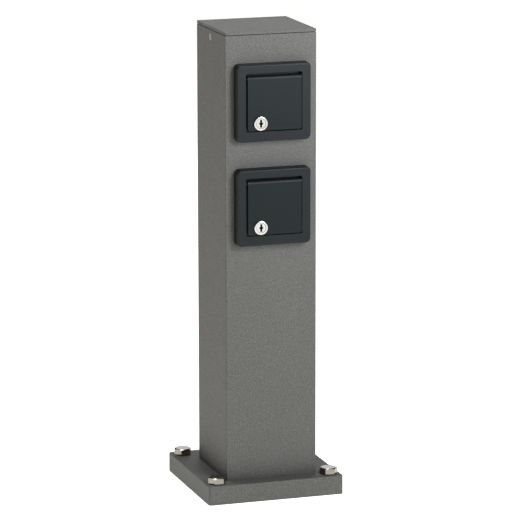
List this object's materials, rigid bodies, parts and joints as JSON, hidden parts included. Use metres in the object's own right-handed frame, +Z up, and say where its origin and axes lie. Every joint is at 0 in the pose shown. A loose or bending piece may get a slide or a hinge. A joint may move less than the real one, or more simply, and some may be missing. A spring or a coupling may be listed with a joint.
{
  "type": "outdoor socket pillar",
  "caption": "Square outdoor power pillar on a bolted base plate, with flush earthed sockets behind lockable, spring-closed lids.",
  "frame": {"origin": "centre of the base plate's underside", "axes": "+Z up along the column, -Y out of the sockets' faces, +X to the right of somebody who faces the sockets"},
  "size_m": [0.15, 0.15, 0.5],
  "materials": {
    "powder_coat": "fine-textured anthracite powder coat with metallic flecks",
    "stainless": "plain stainless steel",
    "zinc_steel": "zinc-plated steel",
    "coated_screw": "grey-coated steel",
    "rubber": "black EPDM",
    "tinned_copper": "tinned copper",
    "wire_brown": "brown PVC insulation",
    "wire_blue": "blue PVC insulation",
    "wire_green": "green PVC insulation with a yellow stripe",
    "terminal_grey": "grey polyamide",
    "terminal_blue": "blue polyamide",
    "terminal_green": "green polyamide",
    "frame_plastic": "fine-textured anthracite plastic",
    "lid_plastic": "fine-textured anthracite plastic",
    "lock_nickel": "nickel-plated brass",
    "socket_plastic": "satin anthracite plastic",
    "block_plastic": "pale thermoset",
    "brass": "plain brass",
    "box_plastic": "black plastic"
  },
  "bodies": {
    "pillar": {"anchor_bolts": "stainless", "base_plate": "powder_coat", "cap_screws": "coated_screw", "cap_seal": "rubber", "column_post": "powder_coat", "column_screws": "zinc_steel", "earth_lug": "tinned_copper", "earth_nut": "zinc_steel", "earth_stud": "zinc_steel", "lower_centre_screw": "zinc_steel", "lower_contact_block": "block_plastic", "lower_cover_frame": "frame_plastic", "lower_device_box": "box_plastic", "lower_earth_bracket": "zinc_steel", "lower_frame_seal": "rubber", "lower_lid_pin": "stainless", "lower_lid_spring": "stainless", "lower_line_contact": "brass", "lower_neutral_contact": "brass", "lower_rim_seal": "rubber", "lower_ring_screws": "zinc_steel", "lower_socket_cover": "socket_plastic", "lower_support_ring": "zinc_steel", "lower_terminal_screws": "zinc_steel", "rail_screws": "zinc_steel", "terminal_earth": "terminal_green", "terminal_line": "terminal_grey", "terminal_neutral": "terminal_blue", "terminal_rail": "zinc_steel", "top_cap": "powder_coat", "upper_centre_screw": "zinc_steel", "upper_contact_block": "block_plastic", "upper_cover_frame": "frame_plastic", "upper_device_box": "box_plastic", "upper_earth_bracket": "zinc_steel", "upper_frame_seal": "rubber", "upper_lid_pin": "stainless", "upper_lid_spring": "stainless", "upper_line_contact": "brass", "upper_neutral_contact": "brass", "upper_rim_seal": "rubber", "upper_ring_screws": "zinc_steel", "upper_socket_cover": "socket_plastic", "upper_support_ring": "zinc_steel", "upper_terminal_screws": "zinc_steel", "wires_earth": "wire_green", "wires_line": "wire_brown", "wires_neutral": "wire_blue"},
    "upper_lid": {"upper_lid": "lid_plastic", "upper_lock_body": "lock_nickel", "upper_lock_retainer": "zinc_steel"},
    "upper_lock": {"upper_lock_cam": "zinc_steel", "upper_lock_circlip": "zinc_steel", "upper_lock_plug": "lock_nickel"},
    "lower_lid": {"lower_lid": "lid_plastic", "lower_lock_body": "lock_nickel", "lower_lock_retainer": "zinc_steel"},
    "lower_lock": {"lower_lock_cam": "zinc_steel", "lower_lock_circlip": "zinc_steel", "lower_lock_plug": "lock_nickel"}
  },
  "joints": [
    {"name": "upper_lid_hinge", "type": "hinge", "parent": "pillar", "child": "upper_lid", "pos_m": [0, -0.0639, 0.4513], "axis": [-1, 0, 0], "range_deg": [0, 105], "stiffness_Nm_per_rad": 0.02, "springref_deg": -57.3, "deforming": ["upper_lid_spring"]},
    {"name": "upper_lock_turn", "type": "hinge", "parent": "upper_lid", "child": "upper_lock", "pos_m": [-0.015, -0.068, 0.4049], "axis": [0, -1, 0], "range_deg": [0, 90]},
    {"name": "lower_lid_hinge", "type": "hinge", "parent": "pillar", "child": "lower_lid", "pos_m": [0, -0.0639, 0.3408], "axis": [-1, 0, 0], "range_deg": [0, 105], "stiffness_Nm_per_rad": 0.02, "springref_deg": -57.3, "deforming": ["lower_lid_spring"]},
    {"name": "lower_lock_turn", "type": "hinge", "parent": "lower_lid", "child": "lower_lock", "pos_m": [-0.015, -0.068, 0.2944], "axis": [0, -1, 0], "range_deg": [0, 90]}
  ]
}
